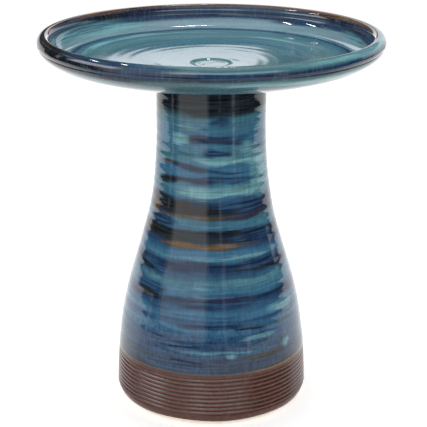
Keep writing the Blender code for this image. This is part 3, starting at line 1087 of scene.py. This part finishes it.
def paper_material():
    """White paper with a painted shade in front of the object, which shows only in reflections."""
    look = Look("floor_paper")
    place = look.node("SeparateXYZ", Vector=look.node("TexCoord").outputs["Object"])
    in_front = look.between(place.outputs["Y"], *PAPER_FRONT)
    in_gloss = look.times(look.node("LightPath").outputs["Is Glossy Ray"], in_front)
    white = look.blend(in_gloss, PAPER_WHITE, PAPER_IN_GLOSS)
    look.dress(Base_Color=white, Emission_Color=white, Emission_Strength=PAPER_GLOW,
               Roughness=PAPER_ROUGHNESS, Specular_IOR_Level=PAPER_SPECULAR)
    return look.material


def build_floor():
    """White paper under and behind the object, narrower than the studio."""
    mesh = bpy.data.meshes.new("floor")
    corners = [(x, y, 0.0) for x, y in PAPER_EDGE] + [(-x, y, 0.0) for x, y in reversed(PAPER_EDGE)]
    mesh.from_pydata(corners, [], [tuple(reversed(range(len(corners))))])
    mesh.materials.append(paper_material())
    floor = add_object("floor", mesh)


def soft_box(name, place, aim, size, radiance, glossy=True, diffuse=True):
    """A rectangular light with the given brightness of its face, unseen by the camera."""
    width, height = size
    data = bpy.data.lights.new(name, "AREA")
    data.shape = "RECTANGLE"
    data.size = width
    data.size_y = height
    data.energy = radiance * width * height * math.pi
    light = add_object(name, data)
    light.location = place
    light.rotation_euler = (Vector(place) - Vector(aim)).to_track_quat("Z", "Y").to_euler()
    light.visible_camera = False
    light.visible_glossy = glossy
    light.visible_diffuse = diffuse


def around(bearing_deg, distance, height):
    """A point at a bearing from the front, growing towards +X."""
    bearing = math.radians(bearing_deg)
    return (distance * math.sin(bearing), -distance * math.cos(bearing), height)


def build_world():
    """Plain white where the camera looks, soft light for matt surfaces, a dim room for gloss to reflect."""
    world = bpy.data.worlds.new("studio")
    bpy.context.scene.world = world
    world.use_nodes = True
    tree = world.node_tree
    room = tree.nodes["Background"]
    room.inputs["Color"].default_value = (*ROOM_COLOUR, 1.0)
    path = tree.nodes.new("ShaderNodeLightPath")
    previous = room.outputs["Background"]
    for kind, strength in (("Is Diffuse Ray", AMBIENT), ("Is Camera Ray", BACKDROP)):
        plain = tree.nodes.new("ShaderNodeBackground")
        plain.inputs["Color"].default_value = (1.0, 1.0, 1.0, 1.0)
        plain.inputs["Strength"].default_value = strength
        mix = tree.nodes.new("ShaderNodeMixShader")
        tree.links.new(path.outputs[kind], mix.inputs["Fac"])
        tree.links.new(previous, mix.inputs[1])
        tree.links.new(plain.outputs["Background"], mix.inputs[2])
        previous = mix.outputs["Shader"]
    tree.links.new(previous, tree.nodes["World Output"].inputs["Surface"])


def stripe(value, low, high, soft):
    """1 between low and high, with soft edges."""
    return smooth_step(value, low - soft, low + soft) * smooth_step(value, high + soft, high - soft)


def shell_glow(bearing, elevation):
    """Brightness of the studio in each direction, in degrees: what the gloss shows."""
    from_right_to_left = (bearing + 360) % 360
    glow = np.full(bearing.shape, ROOM_GLOW)
    for low, high, soft, bottom, top, softness, strength in SHELL_PANELS:
        crosses_back = low > 0 and high > 180
        sideways = from_right_to_left if crosses_back else bearing
        glow += strength * stripe(sideways, low, high, soft) * stripe(elevation, bottom, top, softness)
    return glow


def shell_material():
    look = Look("studio_shell_light")
    lamp = look.node("Emission", Color=SHELL_COLOUR, Strength=look.attribute("glow"))
    look.plug(lamp.outputs["Emission"], look.tree.nodes["Material Output"].inputs["Surface"])
    look.material.cycles.emission_sampling = "NONE"
    return look.material


def build_shell():
    """A sphere around the set that only glossy surfaces see."""
    bearings = np.linspace(-180, 180, SHELL_AROUND + 1)
    elevations = np.linspace(-90, 90, SHELL_UP + 1)
    bearing, elevation = np.meshgrid(bearings, elevations)
    flat = np.radians(bearing).ravel()
    tilt = np.radians(elevation).ravel()
    directions = np.stack([np.sin(flat) * np.cos(tilt), -np.cos(flat) * np.cos(tilt), np.sin(tilt)], 1)
    points = SHELL_RADIUS * directions
    points[:, 2] += SHELL_CENTRE_HEIGHT
    row = SHELL_AROUND + 1
    faces = [(up * row + turn, up * row + turn + 1, (up + 1) * row + turn + 1, (up + 1) * row + turn)
             for up in range(SHELL_UP) for turn in range(SHELL_AROUND)]
    mesh = bpy.data.meshes.new("studio_shell")
    mesh.from_pydata(points.tolist(), [], faces)
    glow = shell_glow(bearing, elevation).astype(np.float32).ravel()
    mesh.attributes.new("glow", "FLOAT", "POINT").data.foreach_set("value", glow)
    mesh.materials.append(shell_material())
    shell = add_object("studio_shell", mesh)
    for kind in ("camera", "diffuse", "transmission", "volume_scatter", "shadow"):
        setattr(shell, "visible_" + kind, False)


def build_lights():
    key_place = around(KEY_BEARING, KEY_DISTANCE, KEY_HEIGHT)
    soft_box("ceiling", CEILING_PLACE, (0.0, 0.0, 0.0), CEILING_SIZE, CEILING_RADIANCE, glossy=False)
    soft_box("key", key_place, KEY_AIM, KEY_SIZE, KEY_RADIANCE, glossy=False)
    for from_deg, to_deg, radiance in FRONT_SCREENS:
        width = 2 * SCREEN_DISTANCE * math.tan(math.radians(to_deg - from_deg) / 2)
        place = around((from_deg + to_deg) / 2, SCREEN_DISTANCE, SCREEN_HEIGHT / 2)
        aim = (0.0, 0.0, SCREEN_HEIGHT / 2)
        soft_box("front_screen", place, aim, (width, SCREEN_HEIGHT), radiance, diffuse=False)
    for bearing_deg, distance, length in TUBES:
        place = around(bearing_deg, distance, TUBE_HEIGHT)
        soft_box("tube", place, TUBE_AIM, (length, TUBE_WIDTH), TUBE_RADIANCE, diffuse=False)


build_camera()
build_floor()
build_world()
build_shell()
build_lights()
build_pedestal()
build_basin()
dress_bumpers()

bpy.context.scene.view_settings.view_transform = "Standard"
bpy.context.view_layer.update()
